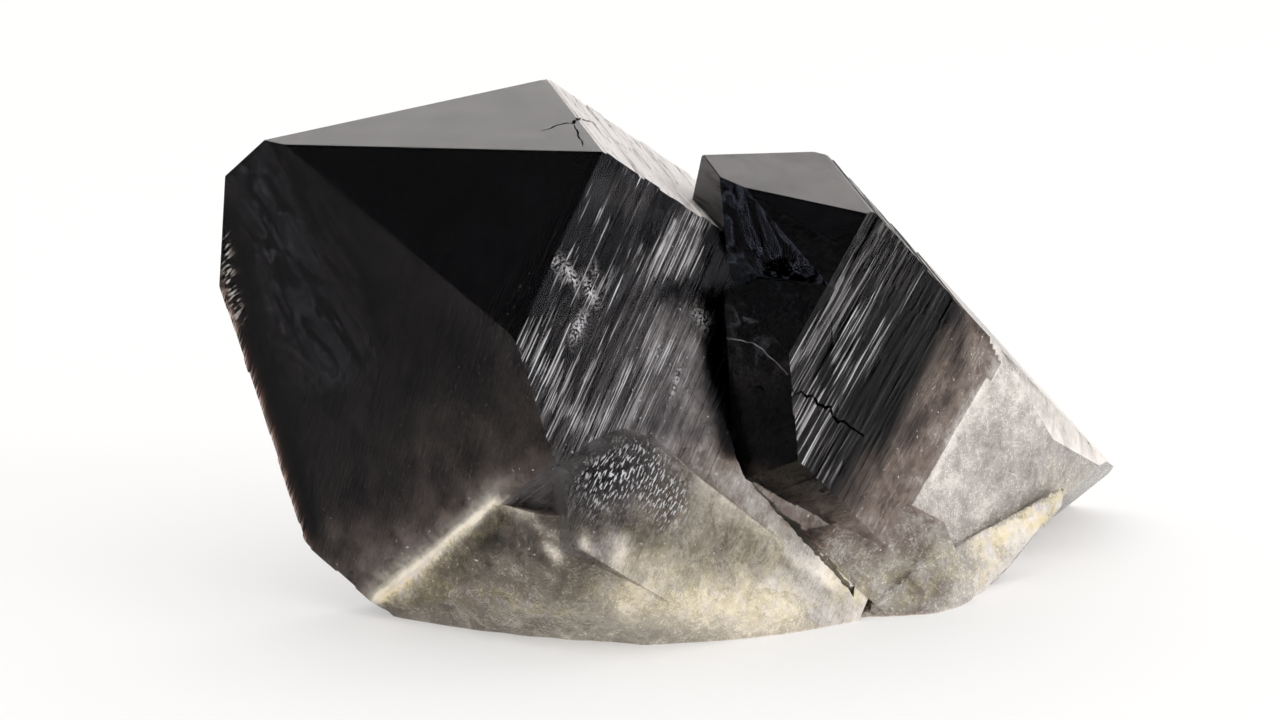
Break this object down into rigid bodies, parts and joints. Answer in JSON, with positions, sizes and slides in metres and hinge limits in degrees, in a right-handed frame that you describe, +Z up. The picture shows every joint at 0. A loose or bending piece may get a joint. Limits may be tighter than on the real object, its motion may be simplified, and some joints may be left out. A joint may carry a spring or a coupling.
{
  "type": "smoky quartz crystal cluster",
  "caption": "Smoky quartz cluster: large dark striated crystals lying side by side with a small one in front, on a broken milky foot with a flat resting face.",
  "frame": {"origin": "middle of the cluster's outline, on the surface it rests on", "axes": "+X along the longest extent, towards the end where the right crystal is broken off; -Y towards the side with the small crystal; +Z up from the resting face"},
  "size_m": [0.1446, 0.1002, 0.0791],
  "materials": {
    "smoky_quartz": "glassy faces, striated sides, rough broken foot"
  },
  "bodies": {
    "root": {"smoky_quartz": "smoky_quartz"}
  },
  "joints": []
}
